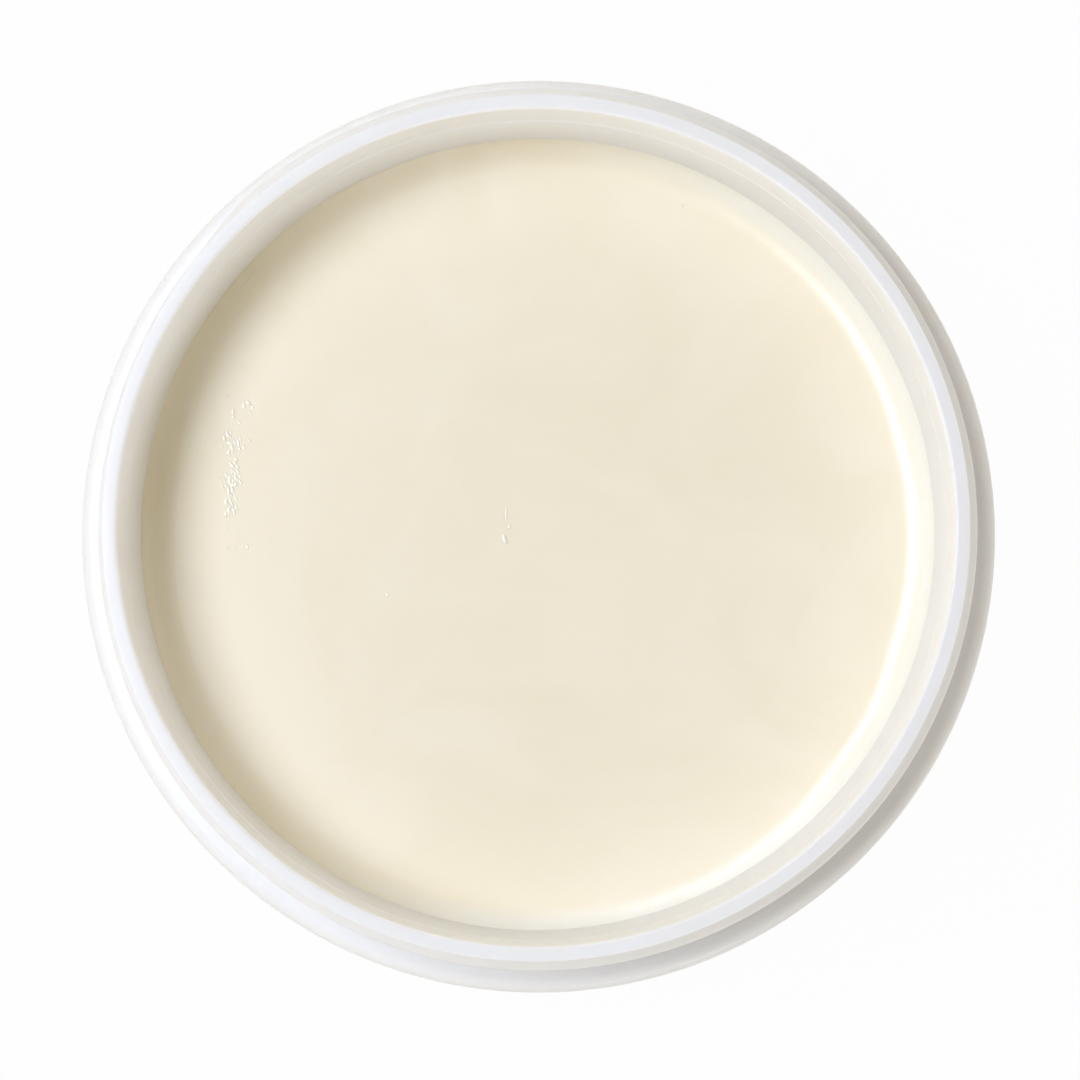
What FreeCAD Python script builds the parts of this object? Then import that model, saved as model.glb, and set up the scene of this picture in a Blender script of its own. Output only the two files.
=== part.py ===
"""Open wide-mouth jar in white polypropylene, filled with a smooth spread to the foot of its neck.

The jar is one blow-moulded piece. Its wall is even, its neck is drawn in so that a lid's skirt sits over it,
its mouth narrows a little from the lip down to the shoulder, and it stands on a foot ring round a pushed-up base.
The spread fills the room inside that wall and climbs the wall in a small curve.

Frame: millimetres, +Z up, origin on the jar's axis in the plane that the foot ring stands on.
"""

import FreeCAD, Part
import math
import os

Vector = FreeCAD.Vector

# Body
JAR_HEIGHT = 54.4            # foot to the lip's inner edge
BODY_RADIUS = 46.25
BODY_WALL = 1.2
HEEL_ROUND = 4.2             # outside, between the wall and the foot
INNER_HEEL_ROUND = 3.6

# Label panel, sunk a little so that knocks miss a label
LABEL_DEPTH = 0.3
LABEL_ABOVE_FOOT = 7.0
LABEL_BELOW_SHOULDER = 4.5
LABEL_EASE = 1.2             # height over which the panel sinks in
LABEL_ROUND = 2.5

# Shoulder, the ledge that a lid's skirt comes down to
SHOULDER_WIDTH = 3.25        # neck to body wall
SHOULDER_FALL = 0.35         # how far the ledge drops towards the body wall
SHOULDER_ROUND = 1.4
INNER_SHOULDER_FALL = 1.2    # steeper inside, so that the spread leaves no air there
INNER_SHOULDER_ROUND = 1.6

# Foot ring and base
BASE_WALL = 1.6
FOOT_WIDTH = 3.4             # ring that touches the table, inside the heel
PUSH_UP = 1.5                # height of the base above the table
PUSH_UP_SLOPE = 2.0          # width of the slope from the foot ring up to the base
PUSH_UP_ROUND = 0.8
GATE_RADIUS = 2.2            # moulding gate in the middle of the base
GATE_HEIGHT = 0.5
GATE_ROUND = 0.15

# Neck
NECK_HEIGHT = 14.6           # lip to ledge
NECK_ROOT_ROUND = 0.8
LIP_WIDTH = 1.5
LIP_FALL = 0.1               # how far the lip slopes down outwards
LIP_OUTER_ROUND = 0.15
LIP_INNER_ROUND = 0.6
SEAT_DEPTH = 5.4             # height of the band inside the lip that a lid's liner reaches
SEAT_DRAFT = 0.45            # how far that band draws in downwards
SEAT_STEP = 0.15             # how far the wall steps in under it
SEAT_STEP_HEIGHT = 0.2
SEAT_ROUND = 0.1
BORE_DRAFT = 1.15            # how far the bore draws in from that step to its lower edge
BORE_EDGE_ROUND = 0.8

# Spread
FILL_BELOW_SHOULDER = 0.3    # ledge to the level middle of the spread
MENISCUS_WIDTH = 2.9         # how far inside the bore's lower edge the surface starts to climb
MENISCUS_RADIUS = 4.1

# Heights and radii that follow
SHOULDER_Z = JAR_HEIGHT - NECK_HEIGHT
FLOOR_Z = PUSH_UP + BASE_WALL
SEAT_Z = JAR_HEIGHT - SEAT_DEPTH
BORE_FOOT_Z = SHOULDER_Z - BODY_WALL
FILL_Z = SHOULDER_Z - FILL_BELOW_SHOULDER
PANEL_RADIUS = BODY_RADIUS - LABEL_DEPTH
INNER_BODY_RADIUS = PANEL_RADIUS - BODY_WALL
NECK_RADIUS = BODY_RADIUS - SHOULDER_WIDTH
LIP_INNER_RADIUS = NECK_RADIUS - LIP_WIDTH
SEAT_RADIUS = LIP_INNER_RADIUS - SEAT_DRAFT
BORE_TOP_RADIUS = SEAT_RADIUS - SEAT_STEP
BORE_RADIUS = BORE_TOP_RADIUS - BORE_DRAFT


def at(radius, z):
    """A point of the half section that is turned round the axis."""
    return Vector(radius, 0, z)


def rounded_corner(before, spot, after, corner_round):
    """Start, middle and end of the arc that eases the corner at spot; a sharp corner starts and ends there."""
    if corner_round == 0:
        return spot, None, spot
    back = (before - spot).normalize()
    ahead = (after - spot).normalize()
    half_angle = back.getAngle(ahead) / 2
    run = corner_round / math.tan(half_angle)
    sagitta = corner_round / math.sin(half_angle) - corner_round
    return spot + back * run, spot + (back + ahead).normalize() * sagitta, spot + ahead * run


def outline(corners):
    """A closed wire through (radius, height, round) corners, each eased by an arc tangent to its two sides."""
    spots = [at(radius, z) for radius, z, _ in corners]
    following = spots[1:] + spots[:1]
    preceding = spots[-1:] + spots[:-1]
    rounds = [corner_round for _, _, corner_round in corners]
    eased = [rounded_corner(*corner) for corner in zip(preceding, spots, following, rounds)]
    edges = []
    for (start, middle, end), (next_start, _, _) in zip(eased, eased[1:] + eased[:1]):
        if middle is not None:
            edges.append(Part.Arc(start, middle, end).toShape())
        edges.append(Part.LineSegment(end, next_start).toShape())
    return Part.Wire(edges)


def turned(wire):
    """The solid that a closed half section makes when it is turned round the axis."""
    return Part.Face(wire).revolve(Vector(0, 0, 0), Vector(0, 0, 1), 360)


def gate_and_base():
    """Corners of the underside, from the axis out to the foot ring."""
    foot_inner_radius = BODY_RADIUS - HEEL_ROUND - FOOT_WIDTH
    return [
        (0, PUSH_UP - GATE_HEIGHT, 0),
        (GATE_RADIUS, PUSH_UP - GATE_HEIGHT, GATE_ROUND),
        (GATE_RADIUS + GATE_HEIGHT, PUSH_UP, GATE_ROUND),
        (foot_inner_radius - PUSH_UP_SLOPE, PUSH_UP, PUSH_UP_ROUND),
        (foot_inner_radius, 0, PUSH_UP_ROUND),
    ]


def body_side():
    """Corners of the outer wall, from the heel up over the label panel to the ledge."""
    panel_foot_z = LABEL_ABOVE_FOOT
    panel_head_z = SHOULDER_Z - LABEL_BELOW_SHOULDER
    return [
        (BODY_RADIUS, 0, HEEL_ROUND),
        (BODY_RADIUS, panel_foot_z, LABEL_ROUND),
        (PANEL_RADIUS, panel_foot_z + LABEL_EASE, LABEL_ROUND),
        (PANEL_RADIUS, panel_head_z - LABEL_EASE, LABEL_ROUND),
        (BODY_RADIUS, panel_head_z, LABEL_ROUND),
        (BODY_RADIUS, SHOULDER_Z - SHOULDER_FALL, SHOULDER_ROUND),
    ]


def neck_and_lip():
    """Corners of the neck, from the ledge up and over the lip."""
    return [
        (NECK_RADIUS, SHOULDER_Z, NECK_ROOT_ROUND),
        (NECK_RADIUS, JAR_HEIGHT - LIP_FALL, LIP_OUTER_ROUND),
        (LIP_INNER_RADIUS, JAR_HEIGHT, LIP_INNER_ROUND),
    ]


def inner_wall():
    """Corners of the inside, from the foot of the liner's band down to the middle of the floor."""
    return [
        (SEAT_RADIUS, SEAT_Z, SEAT_ROUND),
        (BORE_TOP_RADIUS, SEAT_Z - SEAT_STEP_HEIGHT, SEAT_ROUND),
        (BORE_RADIUS, BORE_FOOT_Z, BORE_EDGE_ROUND),
        (INNER_BODY_RADIUS, BORE_FOOT_Z - INNER_SHOULDER_FALL, INNER_SHOULDER_ROUND),
        (INNER_BODY_RADIUS, FLOOR_Z, INNER_HEEL_ROUND),
        (0, FLOOR_Z, 0),
    ]


def jar():
    """The jar's wall, one section from the gate round the outside, over the lip and down to the floor."""
    return turned(outline(gate_and_base() + body_side() + neck_and_lip() + inner_wall()))


def room_inside():
    """The room inside the jar's wall, up to the plane of the lip."""
    return turned(outline([(0, JAR_HEIGHT, 0), (LIP_INNER_RADIUS, JAR_HEIGHT, 0)] + inner_wall()))


def under_surface():
    """Everything under the spread's surface, which is level in the middle and climbs in an arc past the bore."""
    level_radius = BORE_RADIUS - MENISCUS_WIDTH
    centre_z = FILL_Z + MENISCUS_RADIUS

    def climb(degrees):
        angle = math.radians(degrees)
        return at(level_radius + MENISCUS_RADIUS * math.sin(angle), centre_z - MENISCUS_RADIUS * math.cos(angle))

    top = climb(60)
    level_edge = climb(0)
    wall_side = [top, at(BODY_RADIUS, top.z), at(BODY_RADIUS, 0), at(0, 0), at(0, FILL_Z), level_edge]
    straight = [Part.LineSegment(*ends).toShape() for ends in zip(wall_side, wall_side[1:])]
    return turned(Part.Wire([Part.Arc(level_edge, climb(30), top).toShape()] + straight))


def spread():
    """The spread: all the room inside the jar that lies under its surface."""
    return room_inside().common(under_surface())


def save(name, shape):
    """Writes one node, as a single valid solid, to parts/."""
    assert shape.isValid() and len(shape.Solids) == 1, name
    solid = shape.Solids[0]
    solid.exportStep(os.path.join("parts", name + ".step"))
    print(f"{name}: {solid.Volume / 1000:.2f} ml")


os.makedirs("parts", exist_ok=True)
save("jar", jar())
save("spread", spread())
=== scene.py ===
"""Looks of an open wide-mouth jar of potato spread: its blow-moulded wall, its screw thread and the spread."""
import math
import bpy
from mathutils import Matrix, Vector, noise


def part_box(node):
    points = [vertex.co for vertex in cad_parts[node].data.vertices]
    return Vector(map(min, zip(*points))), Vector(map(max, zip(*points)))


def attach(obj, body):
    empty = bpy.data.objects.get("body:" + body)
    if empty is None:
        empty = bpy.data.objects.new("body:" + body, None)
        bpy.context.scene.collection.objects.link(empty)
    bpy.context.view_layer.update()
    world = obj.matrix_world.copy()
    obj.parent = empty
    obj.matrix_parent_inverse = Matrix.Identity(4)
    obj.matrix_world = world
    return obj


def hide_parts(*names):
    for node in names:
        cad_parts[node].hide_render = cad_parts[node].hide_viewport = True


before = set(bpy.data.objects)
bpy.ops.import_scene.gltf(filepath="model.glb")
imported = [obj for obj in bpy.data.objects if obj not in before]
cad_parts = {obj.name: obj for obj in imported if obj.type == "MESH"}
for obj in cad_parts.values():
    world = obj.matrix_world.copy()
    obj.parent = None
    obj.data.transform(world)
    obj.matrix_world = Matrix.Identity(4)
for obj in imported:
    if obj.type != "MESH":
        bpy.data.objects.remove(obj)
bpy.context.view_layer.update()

MM = 0.001
FULL_TURN = 2 * math.pi

# Sizes are in millimetres where no comment says otherwise

# The jar, as built: its outer size comes from the frame
BODY_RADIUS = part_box("jar")[1].x / MM
JAR_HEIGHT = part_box("jar")[1].z / MM
BODY_WALL = 1.2
HEEL_ROUND = 4.2
INNER_HEEL_ROUND = 3.6
LABEL_DEPTH = 0.3
LABEL_ABOVE_FOOT = 7.0
LABEL_BELOW_SHOULDER = 4.5
LABEL_EASE = 1.2
LABEL_ROUND = 2.5
SHOULDER_WIDTH = 3.25
SHOULDER_FALL = 0.02         # flatter than built
SHOULDER_ROUND = 1.4
INNER_SHOULDER_FALL = 1.2
INNER_SHOULDER_ROUND = 1.6
BASE_WALL = 1.6
FOOT_WIDTH = 3.4
PUSH_UP = 1.5
PUSH_UP_SLOPE = 2.0
PUSH_UP_ROUND = 0.8
GATE_RADIUS = 2.2
GATE_HEIGHT = 0.5
GATE_ROUND = 0.15
NECK_HEIGHT = 14.6
NECK_ROOT_ROUND = 0.8
LIP_WIDTH = 1.5
LIP_FALL = 0.1               # the lip slopes down a little outwards
LIP_OUTER_ROUND = 0.15
LIP_INNER_ROUND = 0.35       # crisper than built
SEAT_DRAFT = 0.45
SEAT_DEPTH = 5.4
SEAT_STEP = 0.15
SEAT_STEP_HEIGHT = 0.35      # softer than built
SEAT_ROUND = 0.1
BORE_DRAFT = 1.15
BORE_EDGE_ROUND = 0.8

# The screw thread on its neck
THREAD_HEIGHT = 0.9
THREAD_PITCH = 5.08
THREAD_TURNS = 1.2
THREAD_TOP = 2.9             # lip to the middle of the thread where it starts
THREAD_CREST_HALF = 0.3
THREAD_UPPER_FLANK = 1.9     # long above the crest and short under it, so that a lid pulls down on it
THREAD_LOWER_FLANK = 0.8
THREAD_START = 147           # degrees from +X
THREAD_FADE = 0.05           # share of a turn over which each end runs out

# The spread's surface: its climb up the wall, and the waves in it
FILL_BELOW_SHOULDER = 0.3
CLIMB_HEIGHT = 1.6           # about how high it stands against the wall
MENISCUS_WIDTH = 3.18        # distance from the wall at which its climb starts
MENISCUS_RADIUS = 4.1        # of the arc that it climbs in
STEEPEST = 0.85              # sine of the steepest slope that the arc may reach
FOOT_RISE = 0.12             # a faint slope ahead of that arc
FOOT_REACH = 4.0
WAVER = 0.05                 # share by which the climb's width wavers
WAVER_RUN = 7                # from one wave to the next, as every run below
SLACK_BEARING = -68          # towards here, in degrees from +X, the climb is narrow and wavy
SLACK_WIDTH = 34
SLACK_NARROWING = 0.38
SLACK_WAVER = 0.16
RIPPLE_HEIGHT = 0.03         # small ripples there, near the wall
RIPPLE_REACH = 3
RIPPLE_RUN = 1.6
SWELL_HEIGHT = 0.03          # slow swell all over
SWELL_RUN = 14
FOLD = ((1.3, -0.9), (8.6, 1.9))   # ends of a faint fold where two strokes of the knife met
FOLD_HEIGHT = 0.02
FOLD_WIDTH = 0.7
FOLD_SWAY = 0.25             # how far it sways from a straight line
FOLD_SWAY_RATE = 0.9         # radians of that sway to a millimetre
INTO_WALL = 0.06             # how far the spread reaches into the wall, so that no air shows between them
INNER_SHOULDER_DROP = 1      # from the inner shoulder's corner to where the spread's side stands straight

# A rough patch that a knife left near the wall
PATCH = {
    "Patch x": -30.9, "Patch y": 6.2, "Patch width": 0.60, "Patch length": 4.6,
    "Bead length": 0.42, "Bead width": 0.20, "Bead height": 0.050,
}
PATCH_BEADS = 20.0           # beads in each square millimetre at its middle
PATCH_CLUMPS = 0.7           # clumps of beads to a millimetre
PATCH_BARE = 0.12            # share of the beads that stand between the clumps
PATCH_LEAN = 25              # degrees that its beads lean from +Y
PATCH_SEED = 11.0
TOP_FACING = 0.8             # least upward part of a face's normal where beads may stand

# Single marks: x, y, half length, half width and half height, and degrees from +Y
MARKS = [
    (-3.3, -0.5, 0.75, 0.34, 0.09, 22),
    (-2.9, 0.8, 0.42, 0.22, 0.06, -8),
    (-3.2, 2.0, 0.90, 0.15, 0.04, 4),
    (-29.3, 13.4, 0.50, 0.26, 0.06, 50),
    (-29.8, 13.1, 0.40, 0.22, 0.05, 20),
    (-28.9, 12.9, 0.36, 0.20, 0.05, 10),
    (-29.1, 12.3, 0.30, 0.15, 0.04, 25),
    (-29.4, -1.2, 0.38, 0.20, 0.045, 15),
    (-15.2, -6.1, 0.34, 0.18, 0.04, 30),
    (14.7, 33.4, 0.30, 0.18, 0.04, 60),
    (29.2, -24.0, 0.40, 0.22, 0.05, 40),
]
STREAKS = [                  # pale, just off the wall; their pale colour is a painted highlight, a bright line of light
    (-29.75, 25.6, 2.6, 0.13, 0.10, -44),
    (-28.2, 27.3, 1.2, 0.09, 0.07, -46),
]
SUNK = 0.7                   # share of a bead's half height that its middle is under the surface

# How finely the shapes are divided
SAME_PLACE = 1e-6            # metres between points that count as one
ARC_POINTS = 7               # in each eased corner of the jar's half section
JAR_COLUMNS = 360.0
PLAIN_ROW = 2.5
NECK_ROW = 0.18              # fine enough for the thread
SPREAD_COLUMNS = 512
EVEN_RINGS = 78              # of the spread's middle
EVEN_RING_GAP = 0.45
RING_EASE = 14               # past them, each gap is the way left to the wall over this
LEAST_RING_GAP = 0.05
LAST_RING_GAP = 0.03
BEAD_SEGMENTS = 10
BEAD_RINGS = 6

# Colours
JAR_WHITES = ((0.815, 0.817, 0.855, 1.0), (0.845, 0.847, 0.885, 1.0))
SPREAD_CREAMS = ((0.862, 0.768, 0.578, 1.0), (0.885, 0.800, 0.622, 1.0))
# Painted highlight: the streaks' paler creams stand in for a bright line of light on the climb
GLINT_PAINTED_CREAMS = ((0.93, 0.88, 0.76, 1.0), (0.94, 0.90, 0.80, 1.0))
# Painted sheen: a paler cream painted over the spread near the right wall, where light brightens it
PAINTED_SHEEN_CREAM = (0.90, 0.87, 0.78, 1.0)
PAINTED_SHEEN_RADII = (37.4, 39.6)    # between these the spread is painted paler near the wall: a painted sheen of light
PAINTED_SHEEN_SIDE = (-18, 12)        # the painted sheen lies only to the right, the lit side, between these places across the jar
PAINTED_SHEEN_SIDE_LEAN = 0.35        # millimetres that those places move to the right for each one towards the back
WHITE = (1.0, 1.0, 1.0, 1.0)
TABLE_GREY = (0.5, 0.5, 0.5, 1.0)
TABLE_SEEN = 0.98            # share of plain white in the table as seen; the rest keeps the jar's shadow
TABLE_HALF = 3.0             # metres

# The studio: a soft surround, and soft lamps round the mouth as name, bearing from +X and elevation in degrees,
# width and height in metres, watts and colour
SURROUND_COLOUR = (1.0, 0.89, 0.60, 1.0)
SURROUND_ZENITH = 0.03
SURROUND_HORIZON = 2.02
SURROUND_FALLOFF = 2.0
LAMP_DISTANCE = 1.2          # metres
LAMPS = [
    ("key_softbox", 175, 66, 0.75, 0.46, 9.0, (0.93, 1.0, 1.14)),
    ("side_softbox", 117, 62, 0.28, 0.28, 0.9, (0.95, 1.0, 1.14)),
    ("front_strip", 290, 8, 0.60, 0.15, 2.3, (0.90, 1.0, 1.25)),
    ("right_strip", 22, 8, 0.90, 0.15, 1.6, (0.90, 1.0, 1.30)),
]

# The camera
CAMERA_LENS = 217.8          # on a sensor this wide
CAMERA_SENSOR = 36.0
CAMERA_CLIP_START = 0.01     # metres
CAMERA_ABOVE_LIP = 646
CAMERA_TILT = 3.25           # degrees from straight down
CAMERA_BEARING = -90 + 16.6  # degrees from +X: the front, and on towards the right
CAMERA_TARGET = (0.21, -0.57)

# Heights and radii that follow
SHOULDER_Z = JAR_HEIGHT - NECK_HEIGHT
FLOOR_Z = PUSH_UP + BASE_WALL
SEAT_Z = JAR_HEIGHT - SEAT_DEPTH
BORE_FOOT_Z = SHOULDER_Z - BODY_WALL
FILL_Z = SHOULDER_Z - FILL_BELOW_SHOULDER
PANEL_RADIUS = BODY_RADIUS - LABEL_DEPTH
INNER_BODY_RADIUS = PANEL_RADIUS - BODY_WALL
NECK_RADIUS = BODY_RADIUS - SHOULDER_WIDTH
LIP_INNER_RADIUS = NECK_RADIUS - LIP_WIDTH
SEAT_RADIUS = LIP_INNER_RADIUS - SEAT_DRAFT
BORE_TOP_RADIUS = SEAT_RADIUS - SEAT_STEP
BORE_RADIUS = BORE_TOP_RADIUS - BORE_DRAFT
WALL_RADIUS = (              # where the spread's surface meets the wall
    BORE_RADIUS + BORE_DRAFT * (FILL_Z - BORE_FOOT_Z + CLIMB_HEIGHT) / (SEAT_Z - BORE_FOOT_Z))


class Socket:
    """One output of a node. Arithmetic on it adds Math nodes to its tree."""

    def __init__(self, tree, out):
        self.tree = tree
        self.out = out

    def other(self, name):
        """Another output of the same node."""
        return Socket(self.tree, self.out.node.outputs[name])

    def math(self, operation, *more):
        """What a Math node makes of this socket and the values after it."""
        return self.tree.math(operation, self, *more)

    def __add__(self, value):
        return self.math("ADD", value)

    def __sub__(self, value):
        return self.math("SUBTRACT", value)

    def __rsub__(self, value):
        return self.tree.math("SUBTRACT", value, self)

    def __mul__(self, value):
        return self.math("MULTIPLY", value)

    def __truediv__(self, value):
        return self.math("DIVIDE", value)

    __radd__ = __add__
    __rmul__ = __mul__


class Tree:
    """A tree of nodes that is filled one node at a time."""

    def __init__(self, node_tree):
        self.node_tree = node_tree

    def add(self, kind, settings=None, inputs=None, output=0):
        """Adds a node of that kind with its settings, then the values or links of its sockets."""
        node = self.node_tree.nodes.new(kind)
        for name, value in (settings or {}).items():
            setattr(node, name, value)
        for key, value in (inputs or {}).items():
            if isinstance(value, Socket):
                self.node_tree.links.new(value.out, node.inputs[key])
            else:
                node.inputs[key].default_value = value
        return Socket(self, node.outputs[output]) if node.outputs else node

    def math(self, operation, *values):
        return self.add("ShaderNodeMath", {"operation": operation}, dict(enumerate(values)))

    def eased(self, value, start, end, low=0.0, high=1.0):
        """low before start, high after end, and a smooth step between them."""
        return self.add(
            "ShaderNodeMapRange", {"interpolation_type": "SMOOTHSTEP"},
            {"Value": value, "From Min": start, "From Max": end, "To Min": low, "To Max": high})

    def blended(self, share, first, second):
        """The colour that lies that share of the way from the first to the second."""
        return self.add("ShaderNodeMix", {"data_type": "RGBA"}, {0: share, 6: first, 7: second}, output=2)


def outline_mesh(name, corners):
    """The half section as a line of (radius, height, round) corners, for a shape tree to ease and turn."""
    mesh = bpy.data.meshes.new(name)
    points = [(radius * MM, 0, z * MM) for radius, z, _ in corners]
    mesh.from_pydata(points, [(i, i + 1) for i in range(len(points) - 1)], [])
    rounds = mesh.attributes.new("round", "FLOAT", "POINT")
    rounds.data.foreach_set("value", [corner_round * MM for _, _, corner_round in corners])
    return mesh


def shape_group(name, sizes):
    """An empty shape tree with sizes as its named inputs: the group, the tree and what it's given."""
    group = bpy.data.node_groups.new(name, "GeometryNodeTree")
    group.interface.new_socket("Geometry", in_out="OUTPUT", socket_type="NodeSocketGeometry")
    group.interface.new_socket("Geometry", in_out="INPUT", socket_type="NodeSocketGeometry")
    for size in sizes:
        group.interface.new_socket(size, in_out="INPUT", socket_type="NodeSocketFloat")
    group.interface.new_socket("Finish", in_out="INPUT", socket_type="NodeSocketMaterial")
    tree = Tree(group)
    return group, tree, tree.add("NodeGroupInput")


def finish_shape(tree, given, shape):
    """Ends a shape tree: its instances made real, and its finish put on."""
    shape = tree.add("GeometryNodeRealizeInstances", {}, {0: shape})
    shape = tree.add("GeometryNodeSetShadeSmooth", {}, {0: shape})
    shape = tree.add("GeometryNodeSetMaterial", {}, {"Geometry": shape, "Material": given.other("Finish")})
    tree.add("NodeGroupOutput", {}, {0: shape})


def thread_height(tree, given, angle, height):
    """How far the screw thread stands out of the neck there, as a share of its full height."""
    first_turn = ((given.other("Thread start") - angle) / FULL_TURN).math("FRACT")
    fade = given.other("Thread fade")
    crest = given.other("Thread crest half")
    ridge = 0.0
    for turn in range(math.ceil(THREAD_TURNS)):
        gone = first_turn + turn
        left = given.other("Thread turns") - gone
        whole = tree.eased(gone, 0.0, fade) * tree.eased(left, 0.0, fade)
        above = height - (given.other("Thread top") - given.other("Thread pitch") * gone)
        upper = tree.eased(above, crest, crest + given.other("Thread upper flank"), 1.0, 0.0)
        lower = tree.eased(above * -1.0, crest, crest + given.other("Thread lower flank"), 1.0, 0.0)
        ridge = upper * lower * whole + ridge
    return ridge


def turned_tree(name, sizes):
    """A shape tree that eases a half section's corners and turns it round the axis, with a thread on its neck.

    sizes gives the named inputs, in metres, turns and radians, that the tree reads."""
    group, tree, given = shape_group(name, sizes)
    place = tree.add("GeometryNodeInputPosition")
    index = tree.add("GeometryNodeInputIndex")

    def on_neck(radius):
        return tree.math("COMPARE", radius, given.other("Neck radius"), SAME_PLACE)

    own_round = tree.add("GeometryNodeInputNamedAttribute", {"data_type": "FLOAT"}, {"Name": "round"})
    line = tree.add("GeometryNodeMeshToCurve", {}, {"Mesh": given})
    line = tree.add(
        "GeometryNodeFilletCurve", {"mode": "POLY"}, {"Curve": line, "Count": ARC_POINTS, "Radius": own_round})

    following = tree.add(
        "GeometryNodeFieldAtIndex", {"data_type": "FLOAT_VECTOR", "domain": "POINT"},
        {"Index": index + 1, "Value": place})
    gap = tree.add("ShaderNodeVectorMath", {"operation": "DISTANCE"}, {0: place, 1: following}, output="Value")
    spacing = tree.add(
        "ShaderNodeMix", {"data_type": "FLOAT"},
        {
            "Factor": on_neck(tree.add("ShaderNodeSeparateXYZ", {}, {0: place})),
            "A": given.other("Plain row"), "B": given.other("Neck row"),
        })
    line = tree.add("GeometryNodeSubdivideCurve", {}, {"Curve": line, "Cuts": (gap / spacing).math("FLOOR")})

    count = tree.add(
        "GeometryNodeAttributeDomainSize", {"component": "CURVE"}, {"Geometry": line}, output="Point Count")
    columns = given.other("Columns")
    sheet = tree.add("GeometryNodeMeshGrid", {}, {"Vertices X": count, "Vertices Y": columns + 1})
    row = (index / (columns + 1)).math("FLOOR")
    column = index - row * (columns + 1)
    section = tree.add(
        "GeometryNodeSampleIndex", {"data_type": "FLOAT_VECTOR", "domain": "POINT"},
        {"Geometry": line, "Value": place, "Index": row})
    section = tree.add("ShaderNodeSeparateXYZ", {}, {0: section})
    radius = section.other("X")
    height = section.other("Z")
    angle = column / columns * FULL_TURN
    ridge = thread_height(tree, given, angle, height)
    radius = radius + ridge * on_neck(radius) * given.other("Thread height")

    turned = tree.add(
        "ShaderNodeCombineXYZ", {},
        {"X": radius * angle.math("COSINE"), "Y": radius * angle.math("SINE"), "Z": height})
    shape = tree.add("GeometryNodeSetPosition", {}, {"Geometry": sheet.other("Mesh"), "Position": turned})
    shape = tree.add("GeometryNodeMergeByDistance", {}, {"Geometry": shape, "Distance": SAME_PLACE})
    shape = tree.add("GeometryNodeFlipFaces", {}, {"Mesh": shape})
    finish_shape(tree, given, shape)
    return group


def standing_beads(tree, spots, up, turn, size):
    """Low smooth beads, each turned about the way up that it stands."""
    bead = tree.add(
        "GeometryNodeMeshUVSphere", {}, {"Segments": BEAD_SEGMENTS, "Rings": BEAD_RINGS, "Radius": 1.0})
    spun = tree.add("FunctionNodeAxisAngleToRotation", {}, {"Axis": (0.0, 0.0, 1.0), "Angle": turn})
    stood = tree.add("FunctionNodeAlignRotationToVector", {"axis": "Z"}, {"Rotation": spun, "Vector": up})
    return tree.add(
        "GeometryNodeInstanceOnPoints", {},
        {"Points": spots, "Instance": bead, "Rotation": stood, "Scale": size})


def random_share(tree, low, high, seed):
    """A number between low and high, its own for each point."""
    return tree.add(
        "FunctionNodeRandomValue", {"data_type": "FLOAT"}, {2: low, 3: high, "Seed": seed}, output=1)


def patch_tree(name, sizes):
    """A shape tree that scatters beads over a patch of its surface, thickest in the patch's middle."""
    group, tree, given = shape_group(name, sizes)
    place = tree.add("GeometryNodeInputPosition")
    spot = tree.add("ShaderNodeSeparateXYZ", {}, {0: place})
    facing = tree.add("ShaderNodeSeparateXYZ", {}, {0: tree.add("GeometryNodeInputNormal")}, output="Z")
    across = (spot - given.other("Patch x")) / given.other("Patch width")
    along = (spot.other("Y") - given.other("Patch y")) / given.other("Patch length")
    away = across * across + along * along
    clumps = tree.add(
        "ShaderNodeTexNoise", {}, {"Vector": place, "Scale": given.other("Clumps"), "Detail": 1.0})
    clumped = tree.eased(clumps, 0.40, 0.60, PATCH_BARE, 1.0)
    on_top = facing.math("GREATER_THAN", TOP_FACING)
    dense = (away * -1.0).math("EXPONENT") * on_top * clumped * given.other("Beads")
    scattered = tree.add(
        "GeometryNodeDistributePointsOnFaces", {"distribute_method": "RANDOM"},
        {"Mesh": given, "Density": dense, "Seed": given.other("Seed")})
    up = scattered.other("Normal")
    share = random_share(tree, low=0.55, high=1.25, seed=3)
    half_height = given.other("Bead height") * share
    half_length = given.other("Bead length") * random_share(tree, low=0.6, high=1.3, seed=5)
    half_width = given.other("Bead width") * share
    size = tree.add("ShaderNodeCombineXYZ", {}, {"X": half_width, "Y": half_length, "Z": half_height})
    turn = given.other("Lean") + random_share(tree, low=-0.35, high=0.35, seed=8)
    down = tree.add("ShaderNodeVectorMath", {"operation": "SCALE"}, {0: up, "Scale": half_height * -SUNK})
    spots = tree.add("GeometryNodeSetPosition", {}, {"Geometry": scattered, "Offset": down})
    finish_shape(tree, given, standing_beads(tree, spots, up, turn, size))
    return group


def marks_tree(name):
    """A shape tree that stands one bead on each point it's given, as the point's own attributes say."""
    group, tree, given = shape_group(name, [])

    def own(attribute, kind="FLOAT"):
        return tree.add("GeometryNodeInputNamedAttribute", {"data_type": kind}, {"Name": attribute})

    size = tree.add(
        "ShaderNodeCombineXYZ", {},
        {"X": own("half_width"), "Y": own("half_length"), "Z": own("half_height")})
    finish_shape(tree, given, standing_beads(tree, given, own("up", "FLOAT_VECTOR"), own("turn"), size))
    return group


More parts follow.
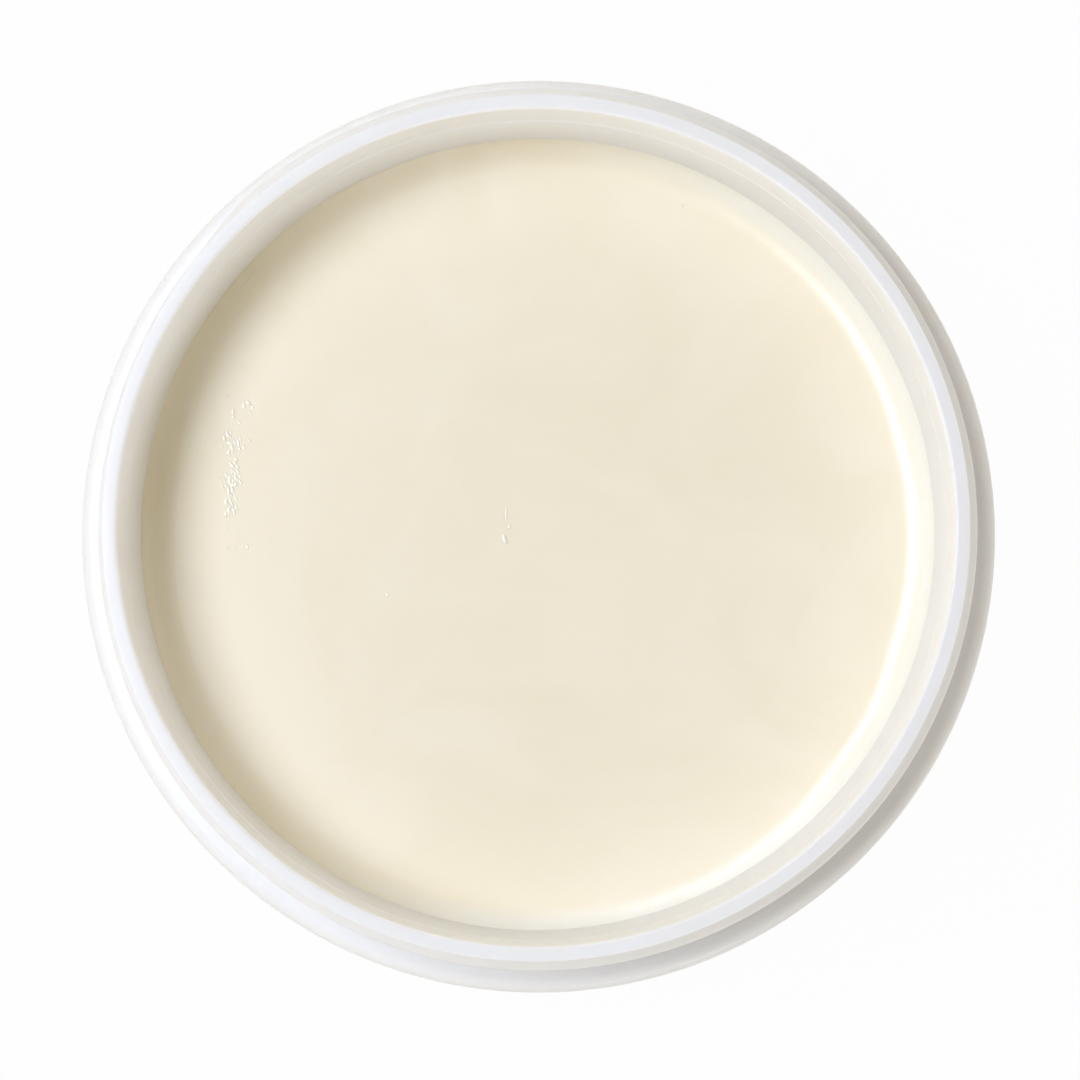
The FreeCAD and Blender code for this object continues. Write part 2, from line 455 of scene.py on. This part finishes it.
def grown(name, start, group, sizes, finish):
    """The plain mesh object that a shape tree makes of the start mesh, with those sizes and that finish."""
    source = bpy.data.objects.new(name + "_start", start)
    bpy.context.scene.collection.objects.link(source)
    modifier = source.modifiers.new("shape", "NODES")
    modifier.node_group = group
    values = {**sizes, "Finish": finish}
    for item in group.interface.items_tree:
        if item.in_out == "INPUT" and item.name in values:
            modifier[item.identifier] = values[item.name]
    depsgraph = bpy.context.evaluated_depsgraph_get()
    mesh = bpy.data.meshes.new_from_object(source.evaluated_get(depsgraph))
    mesh.name = name
    source.modifiers.remove(modifier)
    bpy.data.objects.remove(source)
    piece = bpy.data.objects.new(name, mesh)
    bpy.context.scene.collection.objects.link(piece)
    return piece


def jar_corners():
    """The jar's half section, from the gate round the outside, over the lip and down to the floor."""
    foot_inner_radius = BODY_RADIUS - HEEL_ROUND - FOOT_WIDTH
    panel_head_z = SHOULDER_Z - LABEL_BELOW_SHOULDER
    return [
        (0, PUSH_UP - GATE_HEIGHT, 0),
        (GATE_RADIUS, PUSH_UP - GATE_HEIGHT, GATE_ROUND),
        (GATE_RADIUS + GATE_HEIGHT, PUSH_UP, GATE_ROUND),
        (foot_inner_radius - PUSH_UP_SLOPE, PUSH_UP, PUSH_UP_ROUND),
        (foot_inner_radius, 0, PUSH_UP_ROUND),
        (BODY_RADIUS, 0, HEEL_ROUND),
        (BODY_RADIUS, LABEL_ABOVE_FOOT, LABEL_ROUND),
        (PANEL_RADIUS, LABEL_ABOVE_FOOT + LABEL_EASE, LABEL_ROUND),
        (PANEL_RADIUS, panel_head_z - LABEL_EASE, LABEL_ROUND),
        (BODY_RADIUS, panel_head_z, LABEL_ROUND),
        (BODY_RADIUS, SHOULDER_Z - SHOULDER_FALL, SHOULDER_ROUND),
        (NECK_RADIUS, SHOULDER_Z, NECK_ROOT_ROUND),
        (NECK_RADIUS, JAR_HEIGHT - LIP_FALL, LIP_OUTER_ROUND),
        (LIP_INNER_RADIUS, JAR_HEIGHT, LIP_INNER_ROUND),
        (SEAT_RADIUS, SEAT_Z, SEAT_ROUND),
        (BORE_TOP_RADIUS, SEAT_Z - SEAT_STEP_HEIGHT, SEAT_ROUND),
        (BORE_RADIUS, BORE_FOOT_Z, BORE_EDGE_ROUND),
        (INNER_BODY_RADIUS, BORE_FOOT_Z - INNER_SHOULDER_FALL, INNER_SHOULDER_ROUND),
        (INNER_BODY_RADIUS, FLOOR_Z, INNER_HEEL_ROUND),
        (0, FLOOR_Z, 0),
    ]


def plain_material(name):
    """A new material: itself, its tree and its main shader."""
    material = bpy.data.materials.new(name)
    material.use_nodes = True
    return material, Tree(material.node_tree), material.node_tree.nodes["Principled BSDF"]


def grain_bump(tree, place, scale, strength, distance):
    """A fine even grain, as a bump."""
    grain = tree.add("ShaderNodeTexNoise", {}, {"Vector": place, "Scale": scale, "Detail": 2.0})
    return tree.add("ShaderNodeBump", {}, {"Strength": strength, "Distance": distance, "Height": grain})


def finish_surface(tree, shader, varied, even):
    """Links what varies over a surface to its shader, and sets what is the same all over it."""
    for name, value in varied.items():
        tree.node_tree.links.new(value.out, shader.inputs[name])
    for name, value in even.items():
        shader.inputs[name].default_value = value
    shader.subsurface_method = "BURLEY"


def jar_plastic():
    """White polypropylene, satin and a little translucent."""
    material, tree, shader = plain_material("jar_plastic")
    place = tree.add("ShaderNodeTexCoord", output="Object")
    cloud = tree.add("ShaderNodeTexNoise", {}, {"Vector": place, "Scale": 120.0, "Detail": 3.0})
    finish_surface(
        tree, shader,
        {
            "Base Color": tree.blended(cloud, *JAR_WHITES),
            "Roughness": tree.eased(cloud, 0.3, 0.7, low=0.32, high=0.39),
            "Normal": grain_bump(tree, place, scale=2600.0, strength=0.06, distance=0.04 * MM),
        },
        {
            "IOR": 1.49,
            "Specular IOR Level": 0.4,
            "Subsurface Weight": 0.3,
            "Subsurface Radius": (1.0, 0.85, 0.6),
            "Subsurface Scale": 0.6 * MM,
        })
    return material


def with_painted_sheen_at_wall(tree, place, colour):
    """The spread's colour with a painted sheen: paler near the wall on the right, the lit side."""
    spot = tree.add("ShaderNodeSeparateXYZ", {}, {0: place})
    back = spot.other("Y")
    from_axis = (spot * spot + back * back).math("SQRT")
    near_wall = tree.eased(from_axis, PAINTED_SHEEN_RADII[0] * MM, PAINTED_SHEEN_RADII[1] * MM)
    to_right = tree.eased(spot - back * PAINTED_SHEEN_SIDE_LEAN, PAINTED_SHEEN_SIDE[0] * MM, PAINTED_SHEEN_SIDE[1] * MM)
    return tree.blended(near_wall * to_right, colour, PAINTED_SHEEN_CREAM)


def spread_paste(name, creams, rough_low, rough_high, coat, coat_rough):
    """Smooth paste between two creams; its roughness and its thin oily coat say how wet it is."""
    material, tree, shader = plain_material(name)
    place = tree.add("ShaderNodeTexCoord", output="Object")
    cloud = tree.add(
        "ShaderNodeTexNoise", {}, {"Vector": place, "Scale": 60.0, "Detail": 4.0, "Distortion": 0.9})
    colour = tree.blended(tree.eased(cloud, 0.33, 0.67), *creams)
    finish_surface(
        tree, shader,
        {
            # the base colour carries a painted sheen near the right wall
            "Base Color": with_painted_sheen_at_wall(tree, place, colour),
            "Roughness": tree.eased(cloud, 0.3, 0.7, low=rough_low, high=rough_high),
            "Normal": grain_bump(tree, place, scale=900.0, strength=0.1, distance=0.05 * MM),
        },
        {
            "IOR": 1.45,
            "Specular IOR Level": 1.0,
            "Coat Weight": coat,
            "Coat Roughness": coat_rough,
            "Subsurface Weight": 0.3,
            "Subsurface Radius": (1.0, 0.8, 0.5),
            "Subsurface Scale": 0.6 * MM,
        })
    return material


def drift(x, y, run, layer):
    """Smooth noise from -1 to 1 that comes and goes over run millimetres, its own for each layer."""
    return noise.noise((x / run, y / run, layer))


def surface_height(x, y):
    """Height of the spread's surface above its level middle, in millimetres."""
    from_wall = max(0.0, WALL_RADIUS - math.hypot(x, y))
    past_slack = (math.degrees(math.atan2(y, x)) - SLACK_BEARING) / SLACK_WIDTH
    slack = math.exp(-past_slack ** 2)
    waver = (WAVER + SLACK_WAVER * slack) * drift(x, y, WAVER_RUN, layer=4.1)
    width = MENISCUS_WIDTH * (1 - SLACK_NARROWING * slack) * (1 + waver)
    climbed = min(max(0.0, width - from_wall), STEEPEST * MENISCUS_RADIUS)
    meniscus = MENISCUS_RADIUS - math.sqrt(MENISCUS_RADIUS ** 2 - climbed ** 2)
    foot = FOOT_RISE * math.exp(-from_wall / FOOT_REACH)
    swell = SWELL_HEIGHT * drift(x, y, SWELL_RUN, layer=0.3)
    rippled = slack * math.exp(-from_wall / RIPPLE_REACH)
    ripple = RIPPLE_HEIGHT * rippled * drift(x, y, RIPPLE_RUN, layer=7.7)
    return meniscus + foot + swell + ripple + fold_height(x, y)


def fold_height(x, y):
    """A soft low ridge along the fold, which fades towards its ends."""
    (x0, y0), (x1, y1) = FOLD
    run = math.hypot(x1 - x0, y1 - y0)
    along = ((x - x0) * (x1 - x0) + (y - y0) * (y1 - y0)) / run
    if not 0 < along < run:
        return 0.0
    sway = FOLD_SWAY * math.sin(along * FOLD_SWAY_RATE)
    off = ((y - y0) * (x1 - x0) - (x - x0) * (y1 - y0)) / run - sway
    return FOLD_HEIGHT * math.sin(math.pi * along / run) * math.exp(-(off / FOLD_WIDTH) ** 2)


def surface_z(x, y):
    """Height of the spread's surface above the table, in millimetres."""
    return FILL_Z + surface_height(x, y)


def surface_up(x, y):
    """The way up from the spread's surface."""
    step = 0.05
    east = (surface_height(x + step, y) - surface_height(x - step, y)) / (2 * step)
    north = (surface_height(x, y + step) - surface_height(x, y - step)) / (2 * step)
    return Vector((-east, -north, 1)).normalized()


def marks_mesh(name, marks):
    """A point for each mark, sunk a little into the surface, with its sizes, its turn and its way up."""
    mesh = bpy.data.meshes.new(name)
    x, y, half_length, half_width, half_height, turn = zip(*marks)
    ups = [surface_up(*spot) for spot in zip(x, y)]
    tops = [Vector((*spot, surface_z(*spot))) for spot in zip(x, y)]
    points = [(top - up * height * SUNK) * MM for top, up, height in zip(tops, ups, half_height)]
    mesh.from_pydata(points, [], [])
    given = {
        "half_length": [length * MM for length in half_length],
        "half_width": [width * MM for width in half_width],
        "half_height": [height * MM for height in half_height],
        "turn": [math.radians(degrees) for degrees in turn],
    }
    for key, values in given.items():
        mesh.attributes.new(key, "FLOAT", "POINT").data.foreach_set("value", values)
    up_vectors = mesh.attributes.new("up", "FLOAT_VECTOR", "POINT")
    up_vectors.data.foreach_set("vector", [part for up in ups for part in up])
    return mesh


def ring_radii():
    """Radii of the rings of the spread's surface, close together near the wall and just into it."""
    radii = [EVEN_RING_GAP * (i + 1) for i in range(EVEN_RINGS)]
    while radii[-1] < WALL_RADIUS - LAST_RING_GAP:
        radii.append(radii[-1] + max(LEAST_RING_GAP, (WALL_RADIUS - radii[-1]) / RING_EASE))
    return radii + [WALL_RADIUS + INTO_WALL / 2, WALL_RADIUS + INTO_WALL]


def ring(radius, z_at):
    """The points of one ring, in metres; z_at gives each one's height in millimetres."""
    angles = [FULL_TURN * j / SPREAD_COLUMNS for j in range(SPREAD_COLUMNS)]
    spots = [(radius * math.cos(angle), radius * math.sin(angle)) for angle in angles]
    return [(x * MM, y * MM, z_at(x, y) * MM) for x, y in spots]


def spread_piece(finish):
    """The spread: its surface in rings, and plain sides and bottom that reach just into the jar's wall."""
    inner_shoulder_z = BORE_FOOT_Z - INNER_SHOULDER_FALL
    heel_inset = INNER_HEEL_ROUND * 0.29   # halfway round the inner heel
    under = [
        (BORE_RADIUS + INTO_WALL, BORE_FOOT_Z + BORE_EDGE_ROUND / 2),
        (BORE_RADIUS + BORE_EDGE_ROUND, BORE_FOOT_Z - BORE_EDGE_ROUND / 4),
        (INNER_BODY_RADIUS - INNER_SHOULDER_ROUND / 2, inner_shoulder_z),
        (INNER_BODY_RADIUS + INTO_WALL, inner_shoulder_z - INNER_SHOULDER_DROP),
        (INNER_BODY_RADIUS + INTO_WALL, FLOOR_Z + INNER_HEEL_ROUND),
        (INNER_BODY_RADIUS - heel_inset, FLOOR_Z + heel_inset),
        (INNER_BODY_RADIUS - INNER_HEEL_ROUND, FLOOR_Z - INTO_WALL),
    ]
    rings = [ring(radius, surface_z) for radius in ring_radii()]
    rings += [ring(radius, lambda x, y, z=z: z) for radius, z in under]
    points = [(0, 0, surface_z(0, 0) * MM)] + [point for one in rings for point in one]
    faces = []
    for j in range(SPREAD_COLUMNS):
        k = (j + 1) % SPREAD_COLUMNS
        faces.append((0, 1 + j, 1 + k))
        for i in range(len(rings) - 1):
            low = 1 + i * SPREAD_COLUMNS
            high = low + SPREAD_COLUMNS
            faces.append((low + j, high + j, high + k, low + k))
    last = len(points) - SPREAD_COLUMNS
    faces.append(tuple(last + j for j in reversed(range(SPREAD_COLUMNS))))
    mesh = bpy.data.meshes.new("spread_fill")
    mesh.from_pydata(points, [], faces)
    mesh.shade_smooth()
    mesh.materials.append(finish)
    piece = bpy.data.objects.new("spread_fill", mesh)
    bpy.context.scene.collection.objects.link(piece)
    return piece


def white_where_seen(tree, seen_share):
    """seen_share for a ray from the camera, or one that a glossy or clear surface sends on; else 0."""
    path = tree.add("ShaderNodeLightPath", output="Is Camera Ray")
    seen = tree.math("MAXIMUM", path, path.other("Is Glossy Ray"))
    return tree.math("MAXIMUM", seen, path.other("Is Transmission Ray")) * seen_share


def table_finish():
    """Plain pale paint that looks white and keeps a little of the jar's shadow."""
    material = bpy.data.materials.new("white_table")
    material.use_nodes = True
    nodes = material.node_tree.nodes
    tree = Tree(material.node_tree)
    nodes.remove(nodes["Principled BSDF"])
    plain = tree.add("ShaderNodeBsdfDiffuse", {}, {"Color": TABLE_GREY})
    white = tree.add("ShaderNodeEmission", {}, {"Color": WHITE, "Strength": 1.0})
    mixed = tree.add("ShaderNodeMixShader", {}, {0: white_where_seen(tree, TABLE_SEEN), 1: plain, 2: white})
    material.node_tree.links.new(mixed.out, nodes["Material Output"].inputs["Surface"])
    return material


def make_table():
    """The table that the jar stands on."""
    half = TABLE_HALF
    mesh = bpy.data.meshes.new("table")
    corners = [(-half, -half, 0), (half, -half, 0), (half, half, 0), (-half, half, 0)]
    mesh.from_pydata(corners, [], [(0, 1, 2, 3)])
    mesh.materials.append(table_finish())
    table = bpy.data.objects.new("table", mesh)
    bpy.context.scene.collection.objects.link(table)


def make_surround():
    """A soft surround, brighter towards the horizon, as a light tent gives."""
    world = bpy.data.worlds.new("studio")
    bpy.context.scene.world = world
    world.use_nodes = True
    world.cycles.sampling_method = "NONE"
    nodes = world.node_tree.nodes
    tree = Tree(world.node_tree)
    nodes.remove(nodes["Background"])
    way = tree.add("ShaderNodeTexCoord", output="Generated")
    height = tree.add("ShaderNodeSeparateXYZ", {}, {0: way}, output="Z")
    low = (1.0 - height.math("MAXIMUM", 0.0)).math("POWER", SURROUND_FALLOFF)
    strength = low * SURROUND_HORIZON + SURROUND_ZENITH
    soft = tree.add("ShaderNodeBackground", {}, {"Color": SURROUND_COLOUR, "Strength": strength})
    white = tree.add("ShaderNodeBackground", {}, {"Color": WHITE, "Strength": 1.0})
    mixed = tree.add("ShaderNodeMixShader", {}, {0: white_where_seen(tree, 1.0), 1: soft, 2: white})
    world.node_tree.links.new(mixed.out, nodes["World Output"].inputs["Surface"])


def aimed(obj, place, target, up):
    """Puts a lamp or camera at place, looking at target, with its own up as near to up as can be."""
    backwards = (place - target).normalized()
    right = Vector(up).cross(backwards).normalized()
    upwards = backwards.cross(right)
    turn = Matrix((right, upwards, backwards)).transposed()
    obj.matrix_world = Matrix.Translation(place) @ turn.to_4x4()


def make_softbox(name, bearing, elevation, width, height, energy, colour):
    """A soft lamp that faces the mouth, its size given across and along its climb."""
    lamp = bpy.data.lights.new(name, "AREA")
    lamp.shape = "ELLIPSE"
    lamp.size = width
    lamp.size_y = height
    lamp.energy = energy
    lamp.color = colour
    bearing = math.radians(bearing)
    elevation = math.radians(elevation)
    level = math.cos(elevation)
    out = Vector((level * math.cos(bearing), level * math.sin(bearing), math.sin(elevation)))
    target = Vector((0, 0, SHOULDER_Z * MM))
    obj = bpy.data.objects.new(name, lamp)
    bpy.context.scene.collection.objects.link(obj)
    aimed(obj, target + out * LAMP_DISTANCE, target, (0, 0, 1))


def make_camera():
    """Nearly overhead, a little towards the front and right."""
    camera = bpy.data.cameras.new("camera")
    camera.sensor_width = CAMERA_SENSOR
    camera.lens = CAMERA_LENS
    camera.clip_start = CAMERA_CLIP_START
    tilt = math.radians(CAMERA_TILT)
    bearing = math.radians(CAMERA_BEARING)
    target = Vector((*CAMERA_TARGET, SHOULDER_Z)) * MM
    distance = CAMERA_ABOVE_LIP * MM + NECK_HEIGHT * MM
    aside = math.sin(tilt)
    place = target + Vector((aside * math.cos(bearing), aside * math.sin(bearing), math.cos(tilt))) * distance
    obj = bpy.data.objects.new("camera", camera)
    bpy.context.scene.collection.objects.link(obj)
    aimed(obj, place, target, (0, 1, 0))
    bpy.context.scene.camera = obj


def make_jar():
    """The jar's wall with its thread."""
    sizes = {
        "Columns": JAR_COLUMNS,
        "Plain row": PLAIN_ROW * MM,
        "Neck row": NECK_ROW * MM,
        "Neck radius": NECK_RADIUS * MM,
        "Thread height": THREAD_HEIGHT * MM,
        "Thread pitch": THREAD_PITCH * MM,
        "Thread turns": THREAD_TURNS,
        "Thread top": (JAR_HEIGHT - THREAD_TOP) * MM,
        "Thread crest half": THREAD_CREST_HALF * MM,
        "Thread upper flank": THREAD_UPPER_FLANK * MM,
        "Thread lower flank": THREAD_LOWER_FLANK * MM,
        "Thread start": math.radians(THREAD_START),
        "Thread fade": THREAD_FADE,
    }
    half_section = outline_mesh("half_section", jar_corners())
    shell = grown("jar_shell", half_section, turned_tree("turned_wall", sizes), sizes, jar_plastic())
    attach(shell, "root")
    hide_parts("jar")


def make_spread():
    """The spread, its rough patch and the marks on it."""
    paste = spread_paste("spread_paste", SPREAD_CREAMS, 0.40, 0.45, coat=0.45, coat_rough=0.18)
    wet = spread_paste("spread_wet", SPREAD_CREAMS, 0.18, 0.25, coat=0.7, coat_rough=0.13)
    # a paler paste whose colour paints a highlight line on the streaks
    pale = spread_paste("spread_painted_glint", GLINT_PAINTED_CREAMS, 0.30, 0.40, coat=0.5, coat_rough=0.2)
    patch = {name: size * MM for name, size in PATCH.items()}
    patch.update({
        "Beads": PATCH_BEADS / MM ** 2, "Clumps": PATCH_CLUMPS / MM,
        "Lean": math.radians(PATCH_LEAN), "Seed": PATCH_SEED,
    })
    single = marks_tree("single_beads")
    fill = spread_piece(paste)
    pieces = [
        fill,
        grown("spread_patch", fill.data, patch_tree("patch_beads", patch), patch, wet),
        grown("spread_marks", marks_mesh("marks", MARKS), single, {}, wet),
        # the streaks' pale finish is a painted highlight
        grown("spread_streaks", marks_mesh("streaks", STREAKS), single, {}, pale),
    ]
    for piece in pieces:
        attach(piece, "root")
        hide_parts("spread")


make_jar()
make_spread()
make_table()
make_surround()
for lamp in LAMPS:
    make_softbox(*lamp)
make_camera()
bpy.context.scene.view_settings.view_transform = "Standard"
